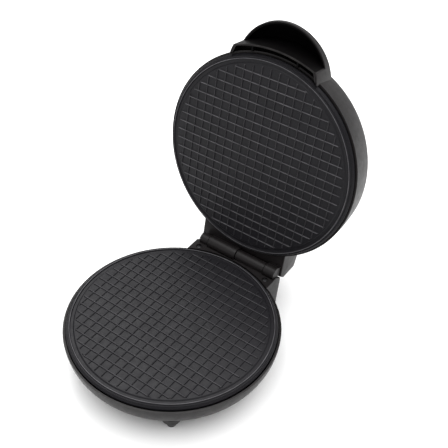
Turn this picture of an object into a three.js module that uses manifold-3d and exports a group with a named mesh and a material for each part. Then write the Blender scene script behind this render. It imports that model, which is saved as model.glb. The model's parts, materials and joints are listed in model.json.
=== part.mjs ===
// Electric waffle cone maker: a clamshell with two round cast plates, standing open.
// Millimetres, +Z up. X runs along the hinge, and +Y points from the front to the hinge.
// Everything is drawn about the middle of the lower baking face, with the lid shut.
// The lid is then swung open about the hinge, and the whole object is set down on its feet.

import * as THREE from 'three';
import { mergeVertices } from 'three/addons/utils/BufferGeometryUtils.js';
import Module from 'manifold-3d';

const wasm = await Module();
wasm.setup();

// Driving dimensions

const GAP = 0.3; // clearance between neighbouring pieces
const PLATE_GAP = 1.2; // clearance round the plates
const TURNING_GAP = 0.8; // clearance round the hinge barrels
const WALL = 2.2; // plastic wall
const BEYOND = 5; // how far a cutting shape runs past the piece that it cuts

const ROUND = 48; // sides of the large round pieces
const BARREL_SIDES = 20;
const MEDIUM = 16; // sides of the cord bush and the thermostats
const SMALL = 12; // sides of holes, posts and screws

const BAKING_RADIUS = 90.5;
const PLATE_RADIUS = 98.6;
const PLATE_THICKNESS = 6.5;
const PLATE_SPACING = 3; // between the two baking faces when shut

const RIM_RADIUS = 101.5; // widest part of the base
const BASE_RIM_Z = -3.9;
const BASE_BOTTOM_Z = -38.5;
const BOWL_FLAT_RADIUS = 68; // flat bottom of the bowl
const COVER_RADIUS = 64;
const VENT = { count: 6, pitch: 12, width: 3, y: [-16, 14] };

const LID_RIM_RADIUS = 100.7;
const LID_RIM_Z = 8;
const LID_TOP_Z = 57.5;
const LID_ROOF_STEP = 0.5; // extra depth of the roof under the cap
const CAP_RADIUS = 60;
const CAP_DEPTH = 2.2;

const FOOT_Z = -46; // the surface that the object stands on
const PAD_HEIGHT = 1.8;
const PAD_RADIUS = 4.6;
const PEG = { radius: 1.6, top: -41 }; // holds a pad in its foot
const FRONT_FOOT = { x: 49.6, y: -65.9 };
const REAR_FOOT = { x: 38, y: 101 };

const HINGE_Y = 107.4;
const HINGE_Z = 0.7;
const OPEN_ANGLE = 100.5; // degrees, with the lid on its stop
const BLOCK_HALF_WIDTH = 48;
const BLOCK_TOP_Z = -1.5; // stands a little above the rim
const BLOCK_BOTTOM_Z = -43.5;
const BASE_BARREL_RADIUS = 5.8;
const LID_BARREL_RADIUS = 6.6;
const BASE_WEB_HALF = 4.6; // half the width of the web under a barrel
const LID_WEB_HALF = 5.2;
const PIN_RADIUS = 2;
const PIN_SPAN = [-42.6, 44.5];
const BASE_KNUCKLES = [[-43.4, -33.8], [0.3, 33.2]];
const LID_KNUCKLES = [[-33.2, -0.3], [33.8, 46]];
const HINGE_SCREW = { head: 2.5, shank: 1.2, seat: -3.8, tip: -10, recess: 0.4 };
const HINGE_SCREW_PLACES = [{ x: -40, y: 96.5 }, { x: 40, y: 96.5 }];

const HOOD_RADIUS = 45.6; // half-moon handle in plan, about its own centre
const HOOD_CENTRE_Y = -81.5;
const HOOD_RIM_Z = 19.5;
const HOOD_SPHERE = { y: -70, z: -46, radius: 89.6 }; // top face of the handle
const HOOD_WALL = 1.6;
const HANDLE_REGION = { x: [-60, 60], y: [-140, -80], z: [-10, 60] };
const LINER_WALL = 1.2;
const LINER_RECESS = 0.3; // from the handle's rim to the edge of its liner

const LIP_RADIUS = 118.2; // front lip of the lid, about its own centre
const LIP_CENTRE_Y = 11.1;
const LIP_REACH = [-20, 70]; // heights that the lip's curve is drawn through
const LIP_Z = 3;
const LIP_WALL = 1.4;
const SLOT_TOP_Z = 13; // between the lip and the plate
const LIP_RIB = { x: 22.8, halfWidth: 0.8, y: [-104.4, -96], z: [3.6, 20] };

const SCREW_CIRCLE = 46; // the three screws that clamp each plate
const BOSS_RADIUS = 5;
const BOSS_DEPTH = 17;
const POST_RADIUS = 4.6;
const SHANK_RADIUS = 1.8;
const SCREW_TIP_Z = -9.5; // under the baking face
const SCREW_HEAD = { radius: 3.4, height: 2 };
const LOWER_HEAD_DEPTH = 38.3; // from the baking face to the outer face of a screw's head
const UPPER_HEAD_DEPTH = 51.7;

const SHIELD_DEPTH = 15.8;
const SHEET = 0.8; // thickness of the heat shield
const HEATER_RADIUS = 66;
const HEATER_TUBE = 3.2;
const HEATER_END = THREE.MathUtils.degToRad(14); // half the gap in the heater ring
const HEATER_LEG = { inset: 5, offset: 1, bend: -15, tip: -22, clearance: 1.6 };
const THERMOSTAT = { cap: 8.5, neck: 5.5, height: 12, clearance: 1 };

const LAMP = { x: 14, y: -38, radius: 3.2, clearance: 0.6, bottom: 50, top: 57.7 };
const LAMP_PLACES = [{ x: -LAMP.x, y: LAMP.y }, { x: LAMP.x, y: LAMP.y }];
const CORD_HOLE = { x: -28, z: -27, radius: 5, y: [98, 118] };
const CORD_BOSS = { radius: 9, y: [105.2, 112.2] };
const BUSH_Y = 114.5; // outer end of the cord bush
const FUSE = { radius: 2.4, length: 18, x: 24, y: 52, z: -18.8 };
const TERMINAL_BLOCK = { x: [-15, 15], y: [93, 103], z: [-39.5, -31] };

// Materials

function plastic(color, roughness) {
  return new THREE.MeshStandardMaterial({ color, roughness, metalness: 0 });
}

function metal(color, roughness) {
  return new THREE.MeshStandardMaterial({ color, roughness, metalness: 0.9 });
}

const materials = {
  housing: plastic(0x2b2928, 0.5),
  liner: plastic(0x1c1b1b, 0.3),
  plate: new THREE.MeshStandardMaterial({ color: 0x2e2e31, roughness: 0.45, metalness: 0.3 }),
  steel: metal(0x9a9a9c, 0.35),
  darkSteel: metal(0x1c1c1e, 0.45),
  tinned: metal(0xb4b4b6, 0.3),
  rubber: plastic(0x161616, 0.9),
  ceramic: plastic(0xe6e1d6, 0.6),
  wire: plastic(0xd8d4cc, 0.7),
  red: plastic(0xb01810, 0.2),
  green: plastic(0x1c8a2c, 0.2),
};

// Shapes

function revolve(section, segments = ROUND) {
  const points = section.map(([radius, height]) => new THREE.Vector2(radius, height));
  if (THREE.ShapeUtils.isClockWise(points)) points.reverse();
  if (points[0].x > 0) points.push(points[0].clone());
  return new THREE.LatheGeometry(points, segments).rotateX(Math.PI / 2);
}

function cylinder(radius, bottom, top, { x = 0, y = 0, segments = SMALL } = {}) {
  const geometry = new THREE.CylinderGeometry(radius, radius, top - bottom, segments);
  return geometry.rotateX(Math.PI / 2).translate(x, y, (top + bottom) / 2);
}

// A rod along the hinge line
function hingeRod(radius, [from, to], segments = BARREL_SIDES) {
  const geometry = new THREE.CylinderGeometry(radius, radius, to - from, segments);
  return geometry.rotateZ(Math.PI / 2).translate((from + to) / 2, HINGE_Y, HINGE_Z);
}

// A rod along Y
function backRod(radius, [from, to], { x, z }) {
  const geometry = new THREE.CylinderGeometry(radius, radius, to - from, MEDIUM);
  return geometry.translate(x, (from + to) / 2, z);
}

// An outline in Y and Z, drawn out along X
function profileAlongX(outline, [from, to]) {
  const shape = new THREE.Shape(outline.map(([y, z]) => new THREE.Vector2(y, z)));
  const geometry = new THREE.ExtrudeGeometry(shape, { depth: to - from, bevelEnabled: false });
  const axes = new THREE.Matrix4().makeBasis(
    new THREE.Vector3(0, 1, 0),
    new THREE.Vector3(0, 0, 1),
    new THREE.Vector3(1, 0, 0),
  );
  return geometry.applyMatrix4(axes).translate(from, 0, 0);
}

function box([x0, x1], [y0, y1], [z0, z1]) {
  const geometry = new THREE.BoxGeometry(x1 - x0, y1 - y0, z1 - z0);
  return geometry.translate((x0 + x1) / 2, (y0 + y1) / 2, (z0 + z1) / 2);
}

// A round tube along a smooth curve through the given points
function tube(points, radius, steps, sides = 6) {
  const section = new THREE.Shape();
  section.absarc(0, 0, radius, 0, 2 * Math.PI);
  const path = new THREE.CatmullRomCurve3(points.map((point) => new THREE.Vector3(...point)));
  const options = { steps, extrudePath: path, curveSegments: sides / 2, bevelEnabled: false };
  return new THREE.ExtrudeGeometry(section, options);
}

// Booleans

function solid(geometry) {
  geometry.deleteAttribute('normal');
  geometry.deleteAttribute('uv');
  const merged = mergeVertices(geometry);
  const corners = merged.index.array;
  const triangles = [];
  for (let i = 0; i < corners.length; i += 3) {
    const [a, b, c] = corners.subarray(i, i + 3);
    if (a !== b && b !== c && c !== a) triangles.push(a, b, c);
  }
  const vertProperties = merged.attributes.position.array;
  const triVerts = new Uint32Array(triangles);
  return new wasm.Manifold(new wasm.Mesh({ numProp: 3, vertProperties, triVerts }));
}

function join(...geometries) {
  return geometries.map(solid).reduce((whole, piece) => whole.add(piece));
}

function cut(whole, ...geometries) {
  return geometries.map(solid).reduce((rest, piece) => rest.subtract(piece), whole);
}

// Slivers thinner than this are dropped after the booleans
const SLIVER = 0.02;

function surface(manifold) {
  const { vertProperties, triVerts } = manifold.simplify(SLIVER).getMesh();
  const geometry = new THREE.BufferGeometry();
  geometry.setAttribute('position', new THREE.BufferAttribute(vertProperties, 3));
  geometry.setIndex(new THREE.BufferAttribute(triVerts, 1));
  geometry.computeVertexNormals();
  return geometry;
}

function piece(name, shape, material) {
  const geometry = shape.isBufferGeometry ? shape : surface(shape);
  const mesh = new THREE.Mesh(geometry, material);
  mesh.name = name;
  return mesh;
}

// Half sections shared by several pieces

// Bowl of the base, inset from its outer face: a quarter ellipse, closed at the given top
function bowlSection(inset, top) {
  const width = RIM_RADIUS - BOWL_FLAT_RADIUS - inset;
  const depth = BASE_RIM_Z - BASE_BOTTOM_Z - inset;
  const section = [[0, BASE_RIM_Z - depth]];
  const steps = 8;
  for (let i = 0; i <= steps; i += 1) {
    const angle = (Math.PI / 2) * (1 - i / steps);
    const radius = BOWL_FLAT_RADIUS + width * Math.cos(angle);
    section.push([radius, BASE_RIM_Z - depth * Math.sin(angle)]);
  }
  if (top > BASE_RIM_Z) section.push([BOWL_FLAT_RADIUS + width, top]);
  return [...section, [0, top]];
}

// Dome of the lid, inset from its outer face
function lidSection(inset, topInset, bottom) {
  const outline = new THREE.Path();
  outline.moveTo(LID_RIM_RADIUS - inset, bottom);
  outline.lineTo(LID_RIM_RADIUS - inset, LID_RIM_Z);
  outline.quadraticCurveTo(100.2 - inset, 21, 98.2 - inset, 34);
  outline.bezierCurveTo(94.5 - inset, 43, 89 - inset, 54 - topInset, 64, 55.8 - topInset);
  outline.quadraticCurveTo(32, LID_TOP_Z - topInset, 0, LID_TOP_Z - topInset);
  const points = outline.getPoints(5).map(({ x, y }) => [x, y]);
  return [[0, bottom], ...points];
}

// Screw positions round the plate, one of them towards the hinge
const screwPlaces = [90, 210, 330].map((degrees) => {
  const angle = THREE.MathUtils.degToRad(degrees);
  return { x: SCREW_CIRCLE * Math.cos(angle), y: SCREW_CIRCLE * Math.sin(angle) };
});

// The upper plate is turned over, so its screws lie the other way round
const lidScrewPlaces = screwPlaces.map(({ x, y }) => ({ x, y: -y }));

// Hinge

// Barrels with the webs that carry them
function knuckles(spans, radius, webHalf, webHeights) {
  const barrels = spans.map((span) => hingeRod(radius, span));
  const webs = spans.map((span) => box(span, [HINGE_Y - webHalf, HINGE_Y + webHalf], webHeights));
  return [...barrels, ...webs];
}

// Room for the other half's barrels to turn in
function knuckleRecesses(spans, radius) {
  return spans.map(([from, to]) => hingeRod(radius + TURNING_GAP, [from - GAP, to + GAP]));
}

function pinHole() {
  return hingeRod(PIN_RADIUS + GAP, [-BLOCK_HALF_WIDTH - BEYOND, PIN_SPAN[1] + GAP], SMALL);
}

function hingeScrew({ x, y }) {
  const { head, shank, seat, tip } = HINGE_SCREW;
  const rim = seat + 0.8;
  const crown = rim + 0.5;
  const section = [
    [0, tip], [shank, tip], [shank, seat], [head, seat], [head, rim], [head - 0.9, crown], [0, crown],
  ];
  return revolve(section, SMALL).translate(x, y, 0);
}

// Base

function baseBlock() {
  const outline = [
    [70, BLOCK_TOP_Z], [104, BLOCK_TOP_Z], [113.7, -7.7],
    [108.5, BLOCK_BOTTOM_Z], [90, BLOCK_BOTTOM_Z], [70, -30],
  ];
  return profileAlongX(outline, [-BLOCK_HALF_WIDTH, BLOCK_HALF_WIDTH]);
}

function baseBlockHollow() {
  const outline = [[60, -12], [109.8, -12], [105.9, -41.1], [91.2, -41.1], [78, -31.5], [60, -31.5]];
  return profileAlongX(outline, [-BLOCK_HALF_WIDTH + WALL, BLOCK_HALF_WIDTH - WALL]);
}

// A front foot flares up into the bowl
function frontFoot(side) {
  const top = -28;
  const tip = FOOT_Z + PAD_HEIGHT + GAP;
  const section = [[0, top], [10.5, top], [9.2, -36], [6.2, -40.5], [5, tip], [0, tip]];
  return revolve(section, SMALL).translate(side * FRONT_FOOT.x, FRONT_FOOT.y, 0);
}

const footPlaces = [
  { name: 'foot_pad_front_left', x: -FRONT_FOOT.x, y: FRONT_FOOT.y },
  { name: 'foot_pad_front_right', x: FRONT_FOOT.x, y: FRONT_FOOT.y },
  { name: 'foot_pad_rear_left', x: -REAR_FOOT.x, y: REAR_FOOT.y },
  { name: 'foot_pad_rear_right', x: REAR_FOOT.x, y: REAR_FOOT.y },
];

function baseHousing() {
  const outside = join(
    revolve(bowlSection(0, BASE_RIM_Z)),
    baseBlock(),
    frontFoot(-1),
    frontFoot(1),
    ...knuckles(BASE_KNUCKLES, BASE_BARREL_RADIUS, BASE_WEB_HALF, [-8, HINGE_Z]),
    backRod(CORD_BOSS.radius, CORD_BOSS.y, CORD_HOLE),
  );
  const hollow = join(revolve(bowlSection(WALL, BEYOND)), baseBlockHollow());
  const plateSeat = cylinder(PLATE_RADIUS + PLATE_GAP, -BEYOND, BEYOND, { segments: ROUND });
  const throughBottom = [BASE_BOTTOM_Z - BEYOND, BASE_BOTTOM_Z + BEYOND];
  const coverHole = cylinder(COVER_RADIUS, ...throughBottom, { segments: ROUND });
  const cordHole = backRod(CORD_HOLE.radius, CORD_HOLE.y, CORD_HOLE);
  const pegHoles = footPlaces.map((place) => cylinder(PEG.radius + GAP, FOOT_Z, PEG.top + GAP, place));
  const { head, shank, seat, tip, recess } = HINGE_SCREW;
  const headHoles = HINGE_SCREW_PLACES.map((place) => cylinder(head + recess, seat - GAP, 0, place));
  const shankHoles = HINGE_SCREW_PLACES.map((place) => cylinder(shank + GAP, tip - GAP, 0, place));
  const recesses = knuckleRecesses(LID_KNUCKLES, LID_BARREL_RADIUS);
  return cut(
    outside.subtract(hollow),
    plateSeat,
    coverHole,
    ...recesses,
    pinHole(),
    cordHole,
    ...pegHoles,
    ...headHoles,
    ...shankHoles,
  );
}

function footPad({ x, y }) {
  const isRear = y > 0;
  const top = isRear ? BLOCK_BOTTOM_Z - GAP : FOOT_Z + PAD_HEIGHT;
  const chamfer = FOOT_Z + 0.6;
  const section = [
    [0, FOOT_Z], [PAD_RADIUS - 0.4, FOOT_Z], [PAD_RADIUS, chamfer], [PAD_RADIUS, top],
    [PEG.radius, top], [PEG.radius, PEG.top], [0, PEG.top],
  ];
  return revolve(section, SMALL).translate(x, y, 0);
}

function bottomCover() {
  const disc = cylinder(COVER_RADIUS - GAP, BASE_BOTTOM_Z, BASE_BOTTOM_Z + WALL, { segments: ROUND });
  const postTop = -BOSS_DEPTH - GAP;
  const posts = screwPlaces.map((place) => cylinder(POST_RADIUS, BASE_BOTTOM_Z + 1, postTop, place));
  const headTop = -LOWER_HEAD_DEPTH + SCREW_HEAD.height + GAP;
  const counterbores = screwPlaces.map((place) => (
    cylinder(SCREW_HEAD.radius + GAP, BASE_BOTTOM_Z - BEYOND, headTop, place)
  ));
  const bores = screwPlaces.map((place) => cylinder(SHANK_RADIUS + GAP, BASE_BOTTOM_Z, 0, place));
  const vents = [];
  for (let i = 0; i < VENT.count; i += 1) {
    const x = (i - (VENT.count - 1) / 2) * VENT.pitch;
    const sides = [x - VENT.width / 2, x + VENT.width / 2];
    vents.push(box(sides, VENT.y, [BASE_BOTTOM_Z - BEYOND, BASE_BOTTOM_Z + BEYOND]));
  }
  return cut(join(disc, ...posts), ...counterbores, ...bores, ...vents);
}

function cordBush() {
  const section = [[3.2, 0], [4, 2], [7.5, 0], [7.5, -2], [4.7, -2], [4.7, -7], [3.2, -7]];
  const bush = revolve(section, MEDIUM).rotateX(-Math.PI / 2);
  return bush.translate(CORD_HOLE.x, BUSH_Y, CORD_HOLE.z);
}

function thermalFuse() {
  const fuse = new THREE.CylinderGeometry(FUSE.radius, FUSE.radius, FUSE.length, SMALL);
  return fuse.rotateZ(Math.PI / 2).translate(FUSE.x, FUSE.y, FUSE.z);
}

// From the cord bush to the terminal block
function supplyWires() {
  return tube([[-28, 105, -27], [-28, 99, -27.5], [-24, 97.5, -33], [-17.6, 98, -35.5]], 1.8, 10);
}

// From the terminal block to the lower thermostat
function lowerWires() {
  const route = [[4, 92.6, -34], [4, 86, -32], [9, 72, -27.5], [9, 46, -22], [5, 20, -21], [0, 4, -20.6]];
  return tube(route, 1.5, 16);
}

// Heating deck, the same in both halves: drawn under its baking face

function plate() {
  const section = [
    [0, 0], [BAKING_RADIUS, 0], [91.6, -1], [93.8, -1], [94.7, 0.5], [96, 0.5], [97, -0.6],
    [PLATE_RADIUS, -2.2], [PLATE_RADIUS, -4.2], [97, -4.4], [92, -5],
    [92, -PLATE_THICKNESS], [0, -PLATE_THICKNESS],
  ];
  const bosses = screwPlaces.map((place) => cylinder(BOSS_RADIUS, -BOSS_DEPTH, -4, place));
  const holes = screwPlaces.map((place) => (
    cylinder(SHANK_RADIUS + GAP, -BOSS_DEPTH - BEYOND, SCREW_TIP_Z + GAP, place)
  ));
  return cut(join(revolve(section), ...bosses), ...holes);
}

// Where the two ends of the heater turn down
const heaterLeg = {
  x: HEATER_RADIUS * Math.sin(HEATER_END) - HEATER_LEG.inset,
  y: HEATER_RADIUS * Math.cos(HEATER_END) + HEATER_LEG.offset,
};

function heater() {
  const z = -PLATE_THICKNESS - 3 * GAP - HEATER_TUBE;
  const start = Math.PI / 2 + HEATER_END;
  const sweep = 2 * Math.PI - 2 * HEATER_END;
  const stations = 24;
  const { bend, tip } = HEATER_LEG;
  const points = [[-heaterLeg.x, heaterLeg.y, tip], [-heaterLeg.x, heaterLeg.y, bend]];
  for (let i = 0; i <= stations; i += 1) {
    const angle = start + (sweep * i) / stations;
    points.push([HEATER_RADIUS * Math.cos(angle), HEATER_RADIUS * Math.sin(angle), z]);
  }
  points.push([heaterLeg.x, heaterLeg.y, bend], [heaterLeg.x, heaterLeg.y, tip]);
  return tube(points, HEATER_TUBE, 2 * stations);
}

function heatShield() {
  const floor = -SHIELD_DEPTH;
  const flange = -7.6;
  const section = [
    [0, floor + SHEET], [85.4, floor + SHEET], [87.2, flange], [90, flange],
    [90, flange - SHEET], [88, flange - SHEET], [86.2, floor], [0, floor],
  ];
  const through = [floor - BEYOND, floor + BEYOND];
  const bossHoles = screwPlaces.map((place) => cylinder(BOSS_RADIUS + 0.5, ...through, place));
  const legHoles = [-heaterLeg.x, heaterLeg.x].map((x) => (
    cylinder(HEATER_TUBE + HEATER_LEG.clearance, ...through, { x, y: heaterLeg.y })
  ));
  const thermostatHole = cylinder(THERMOSTAT.neck + THERMOSTAT.clearance, ...through);
  return cut(join(revolve(section)), ...bossHoles, ...legHoles, thermostatHole);
}

function thermostat() {
  const { cap, neck, height } = THERMOSTAT;
  const top = -PLATE_THICKNESS - GAP;
  const section = [
    [0, top], [cap, top], [cap, top - 3],
    [neck, top - 4], [neck, top - height], [0, top - height],
  ];
  return revolve(section, MEDIUM);
}

function plateScrew({ x, y }, headDepth) {
  const { radius, height } = SCREW_HEAD;
  const seat = -headDepth + height;
  const section = [
    [0, SCREW_TIP_Z], [SHANK_RADIUS, SCREW_TIP_Z], [SHANK_RADIUS, seat],
    [radius, seat], [radius, -headDepth], [0, -headDepth],
  ];
  return revolve(section, SMALL).translate(x, y, 0);
}

function heatingDeck(half, headDepth) {
  const deck = new THREE.Group();
  deck.add(piece(`${half}_plate`, plate(), materials.plate));
  deck.add(piece(`${half}_heater`, heater(), materials.steel));
  deck.add(piece(`${half}_heat_shield`, heatShield(), materials.tinned));
  deck.add(piece(`${half}_thermostat`, thermostat(), materials.ceramic));
  screwPlaces.forEach((place, i) => {
    deck.add(piece(`${half}_plate_screw_${i + 1}`, plateScrew(place, headDepth), materials.steel));
  });
  return deck;
}

// Lid, drawn shut

// The handle's space, inset from its outer face
function hoodSpace(inset, bottom) {
  const { y, z, radius } = HOOD_SPHERE;
  const place = { y: HOOD_CENTRE_Y, segments: ROUND };
  const drum = cylinder(HOOD_RADIUS - inset, bottom, HANDLE_REGION.z[1], place);
  const ball = new THREE.SphereGeometry(radius - inset, 40, 30).rotateX(Math.PI / 2).translate(0, y, z);
  return solid(drum).intersect(solid(ball));
}

function lipDrum(inset, bottom, top) {
  return solid(cylinder(LIP_RADIUS - inset, bottom, top, { y: LIP_CENTRE_Y, segments: 2 * ROUND }));
}

// The block of space in front of the lid, up to a height
function handleRegion(top) {
  return solid(box(HANDLE_REGION.x, HANDLE_REGION.y, [HANDLE_REGION.z[0], top]));
}

// The handle's outer shell: open in front of the lip up to its rim, and down to the lip's foot beside it
function handle() {
  const beforeLip = handleRegion(HOOD_RIM_Z).subtract(lipDrum(0, ...LIP_REACH));
  const outside = hoodSpace(0, LIP_Z).intersect(handleRegion(HANDLE_REGION.z[1]));
  return outside.subtract(hoodSpace(HOOD_WALL, 0)).subtract(beforeLip);
}

// The raised lip between the plate and the fingers, a ribbed crescent that fits inside the handle
function frontLip() {
  const inset = HOOD_WALL + GAP;
  const block = hoodSpace(inset, LIP_Z).intersect(lipDrum(0, LIP_Z - 1, HANDLE_REGION.z[1]));
  const behindLip = lipDrum(LIP_WALL, LIP_Z - 1, SLOT_TOP_Z);
  const slot = behindLip.intersect(hoodSpace(inset + LIP_WALL, LIP_Z - 1));
  const { x: ribX, halfWidth, y, z } = LIP_RIB;
  const ribs = [-ribX, ribX].map((x) => box([x - halfWidth, x + halfWidth], y, z));
  const dome = revolve(lidSection(-GAP, -GAP, -BEYOND));
  return cut(block.subtract(slot).add(join(...ribs)), dome);
}

function lidBlock() {
  const outline = [[70, LID_RIM_Z], [113.7, LID_RIM_Z], [118.2, 14.9], [114.4, 34.8], [97, 39], [70, 39]];
  return profileAlongX(outline, [-BLOCK_HALF_WIDTH, BLOCK_HALF_WIDTH]);
}

function lidBlockHollow() {
  const outline = [[60, 10.5], [112.4, 10.5], [115.6, 15.7], [112.4, 32.4], [96, 36.2], [60, 36.2]];
  return profileAlongX(outline, [-BLOCK_HALF_WIDTH + WALL, BLOCK_HALF_WIDTH - WALL]);
}

function lidHousing() {
  const dome = solid(revolve(lidSection(0, 0, LID_RIM_Z)));
  const barrels = knuckles(LID_KNUCKLES, LID_BARREL_RADIUS, LID_WEB_HALF, [HINGE_Z, 10]);
  const outside = dome.add(handle()).add(join(lidBlock(), ...barrels));
  const plateSpace = cylinder(PLATE_RADIUS + PLATE_GAP, -BEYOND, LID_RIM_Z, { segments: ROUND });
  const roofInset = WALL + CAP_DEPTH + LID_ROOF_STEP;
  const hollow = join(revolve(lidSection(WALL, roofInset, -BEYOND)), lidBlockHollow(), plateSpace);

  const above = LID_TOP_Z + BEYOND;
  const capFloor = LID_TOP_Z - CAP_DEPTH - GAP;
  const capRecess = cylinder(CAP_RADIUS + GAP, capFloor, above, { segments: ROUND });
  const posts = lidScrewPlaces.map((place) => (
    cylinder(POST_RADIUS, PLATE_SPACING + BOSS_DEPTH + GAP, capFloor - 1, place)
  ));
  const headFloor = PLATE_SPACING + UPPER_HEAD_DEPTH - SCREW_HEAD.height - GAP;
  const counterbores = lidScrewPlaces.map((place) => (
    cylinder(SCREW_HEAD.radius + GAP, headFloor, above, place)
  ));
  const bores = lidScrewPlaces.map((place) => (
    cylinder(SHANK_RADIUS + GAP, PLATE_SPACING + BEYOND, above, place)
  ));
  const lampHoles = LAMP_PLACES.map((place) => (
    cylinder(LAMP.radius + LAMP.clearance, LAMP.bottom - BEYOND, above, place)
  ));
  const recesses = knuckleRecesses(BASE_KNUCKLES, BASE_BARREL_RADIUS);
  return cut(
    outside.subtract(hollow).add(join(...posts)),
    capRecess,
    ...counterbores,
    ...bores,
    ...lampHoles,
    ...recesses,
    pinHole(),
  );
}

// Lines the finger side of the handle down to its rim, in front of the lip
function handleLiner() {
  const inset = HOOD_WALL + GAP;
  const outside = hoodSpace(inset, HOOD_RIM_Z + LINER_RECESS).intersect(handleRegion(HANDLE_REGION.z[1]));
  return outside.subtract(hoodSpace(inset + LINER_WALL, 0)).subtract(lipDrum(-GAP, ...LIP_REACH));
}

function lidCap() {
  const bottom = LID_TOP_Z - CAP_DEPTH;
  const edge = LID_TOP_Z - 1.1;
  const section = [
    [0, bottom], [CAP_RADIUS, bottom], [CAP_RADIUS, edge],
    [CAP_RADIUS - 1, edge + 0.4], [30, LID_TOP_Z - 0.2], [0, LID_TOP_Z],
  ];
  const holes = LAMP_PLACES.map((place) => (
    cylinder(LAMP.radius + LAMP.clearance, bottom - BEYOND, LID_TOP_Z + BEYOND, place)
  ));
  return cut(join(revolve(section)), ...holes);
}

function lamp({ x, y }) {
  const { radius, bottom, top } = LAMP;
  const section = [[0, bottom], [radius, bottom], [radius, top - 1.3], [radius - 0.8, top - 0.4], [0, top]];
  return revolve(section, SMALL).translate(x, y, 0);
}

// From the hinge to the upper thermostat
function upperWires() {
  const route = [[-16, 106, 20], [-15, 98, 26], [-12, 80, 27], [-11, 46, 25], [-6, 20, 24], [0, 4, 23.6]];
  return tube(route, 1.5, 16);
}

// Assembly

function baseGroup() {
  const base = new THREE.Group();
  base.add(piece('base_housing', baseHousing(), materials.housing));
  base.add(piece('bottom_cover', bottomCover(), materials.housing));
  footPlaces.forEach((place) => base.add(piece(place.name, footPad(place), materials.rubber)));
  base.add(piece('cord_bush', cordBush(), materials.rubber));
  HINGE_SCREW_PLACES.forEach((place, i) => {
    base.add(piece(`hinge_screw_${i + 1}`, hingeScrew(place), materials.darkSteel));
  });
  base.add(piece('hinge_pin', hingeRod(PIN_RADIUS, PIN_SPAN, SMALL), materials.steel));
  base.add(heatingDeck('lower', LOWER_HEAD_DEPTH));
  base.add(piece('thermal_fuse', thermalFuse(), materials.tinned));
  const { x, y, z } = TERMINAL_BLOCK;
  base.add(piece('terminal_block', box(x, y, z), materials.ceramic));
  base.add(piece('supply_wires', supplyWires(), materials.wire));
  base.add(piece('lower_wires', lowerWires(), materials.wire));
  return base;
}

function lidGroup() {
  const shut = new THREE.Group();
  shut.position.set(0, -HINGE_Y, -HINGE_Z);
  shut.add(piece('lid_housing', lidHousing(), materials.housing));
  shut.add(piece('handle_liner', handleLiner(), materials.liner));
  shut.add(piece('front_lip', frontLip(), materials.liner));
  shut.add(piece('lid_cap', lidCap(), materials.liner));
  shut.add(piece('power_lamp', lamp(LAMP_PLACES[0]), materials.red));
  shut.add(piece('ready_lamp', lamp(LAMP_PLACES[1]), materials.green));
  shut.add(piece('upper_wires', upperWires(), materials.wire));

  // The upper deck is the lower one turned over
  const deck = heatingDeck('upper', UPPER_HEAD_DEPTH);
  deck.rotation.x = Math.PI;
  deck.position.z = PLATE_SPACING;
  shut.add(deck);

  const lid = new THREE.Group();
  lid.position.set(0, HINGE_Y, HINGE_Z);
  lid.rotation.x = -THREE.MathUtils.degToRad(OPEN_ANGLE);
  lid.add(shut);
  return lid;
}

// The origin is under the middle of the open object, on the surface that it stands on
const group = new THREE.Group();
group.add(baseGroup(), lidGroup());
group.updateMatrixWorld(true);
const extent = new THREE.Box3().setFromObject(group, true);
const middle = extent.getCenter(new THREE.Vector3());
group.position.set(-middle.x, -middle.y, -extent.min.z);

export default group;
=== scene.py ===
"""Looks of the waffle cone maker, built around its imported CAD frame.

Pieces are drawn in millimetres about the middle of the lower baking face, with the lid shut:
X along the hinge, +Y towards the hinge, +Z up. BASE and LID then place them in the row frame.
"""

import json
import math

import bmesh
import bpy
from mathutils import Matrix, Vector


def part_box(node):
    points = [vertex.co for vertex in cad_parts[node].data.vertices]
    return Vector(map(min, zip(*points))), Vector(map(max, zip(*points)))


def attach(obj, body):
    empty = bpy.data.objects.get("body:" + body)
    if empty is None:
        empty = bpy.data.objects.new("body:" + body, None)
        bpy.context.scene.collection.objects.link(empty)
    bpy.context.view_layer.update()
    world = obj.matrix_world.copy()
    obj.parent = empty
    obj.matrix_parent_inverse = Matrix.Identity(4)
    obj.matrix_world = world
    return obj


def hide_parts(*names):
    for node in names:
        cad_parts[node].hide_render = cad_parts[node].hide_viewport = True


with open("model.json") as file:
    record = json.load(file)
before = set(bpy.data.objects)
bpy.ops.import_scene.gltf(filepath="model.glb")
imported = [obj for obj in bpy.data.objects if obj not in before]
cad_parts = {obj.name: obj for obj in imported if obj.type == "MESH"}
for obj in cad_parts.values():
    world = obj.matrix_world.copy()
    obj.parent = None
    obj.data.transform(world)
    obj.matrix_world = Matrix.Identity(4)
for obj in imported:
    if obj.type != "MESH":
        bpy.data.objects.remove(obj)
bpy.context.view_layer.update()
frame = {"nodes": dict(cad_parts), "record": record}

# ---------------------------------------------------------------- sizes, in millimetres

MM = 0.001
GAP = 0.3
WALL = 2.2
BEYOND = 5.0
FINE = 192  # sides of large round pieces
BARREL_SIDES = 64
CORD_SIDES = 48
PAD_SIDES = 48
FOOT_SIDES = 64
SMALL = 32  # sides of screws, posts and small holes
LONGEST_ROUNDING = 0.45  # share of a side that a rounded corner may take

BAKING_RADIUS = 90.5
PLATE_RADIUS = 98.6
PLATE_GAP = 1.2
PLATE_THICKNESS = 6.5
PLATE_SPACING = 3.0
PLATE_BEAD = 0.5  # the bead round a plate stands this far above its baking face
BOSS_RADIUS = 5.0
BOSS_TOP_Z = -4.0
BOSS_DEPTH = 17.0
FLANGE_RINGS = 3
FLANGE_RING_STEP = 0.45
FLANGE_RING_DROP = 0.42

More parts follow.
